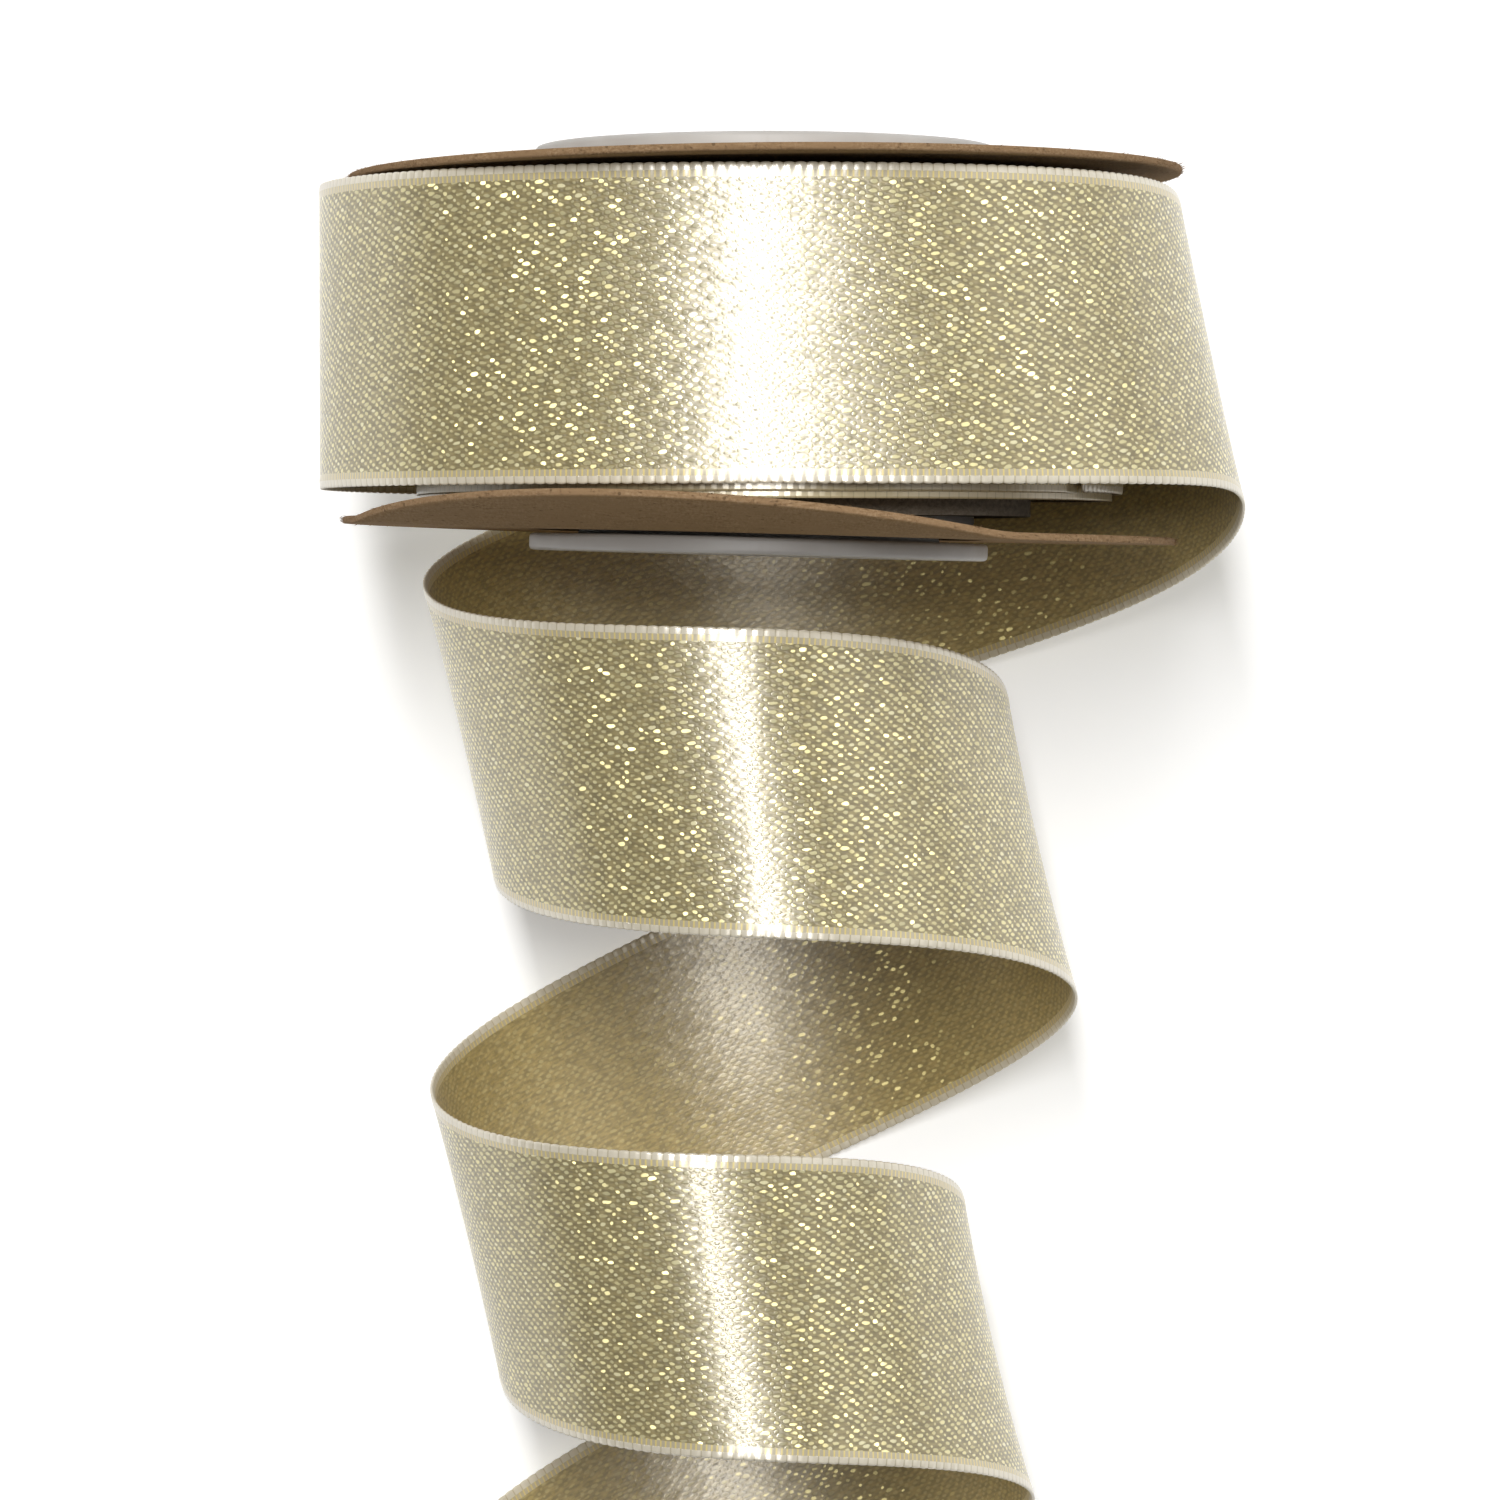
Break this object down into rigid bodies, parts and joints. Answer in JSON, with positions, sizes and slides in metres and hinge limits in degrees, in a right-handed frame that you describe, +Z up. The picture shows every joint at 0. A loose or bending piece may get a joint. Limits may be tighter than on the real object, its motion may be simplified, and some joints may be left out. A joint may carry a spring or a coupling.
{
  "type": "ribbon spool",
  "caption": "Spool of wide satin ribbon with card flanges and a plastic hub, lying on its rim with the loose end running off in springy coils.",
  "frame": {"origin": "on the table, below the middle of the whole object", "axes": "+Y along the spool's axis, from the loose coils towards the spool; +Z up from the table; +X towards the side where the ribbon leaves the spool"},
  "size_m": [0.0766, 0.1476, 0.0702],
  "materials": {
    "kraft_card": "matte",
    "grey_board": "matte",
    "white_plastic": "satin",
    "paper_tape": "satin",
    "gold_satin": "satin weave with metallic threads"
  },
  "bodies": {
    "spool": {"top_flange": "kraft_card", "bottom_flange": "kraft_card", "hub_socket_half": "white_plastic", "hub_plug_half": "white_plastic", "core_tube": "grey_board", "starter_tape": "paper_tape", "ribbon_pack": "gold_satin"},
    "ribbon_tail": {"ribbon_outer_wrap": "gold_satin", "ribbon_crossover": "gold_satin", "ribbon_coil_1": "gold_satin", "ribbon_coil_2": "gold_satin"}
  },
  "joints": [
    {"name": "unwind", "type": "hinge", "parent": "spool", "child": "ribbon_tail", "pos_m": [-0.00135, 0.058, 0.0358], "axis": [0, 1, 0], "continuous": true}
  ]
}
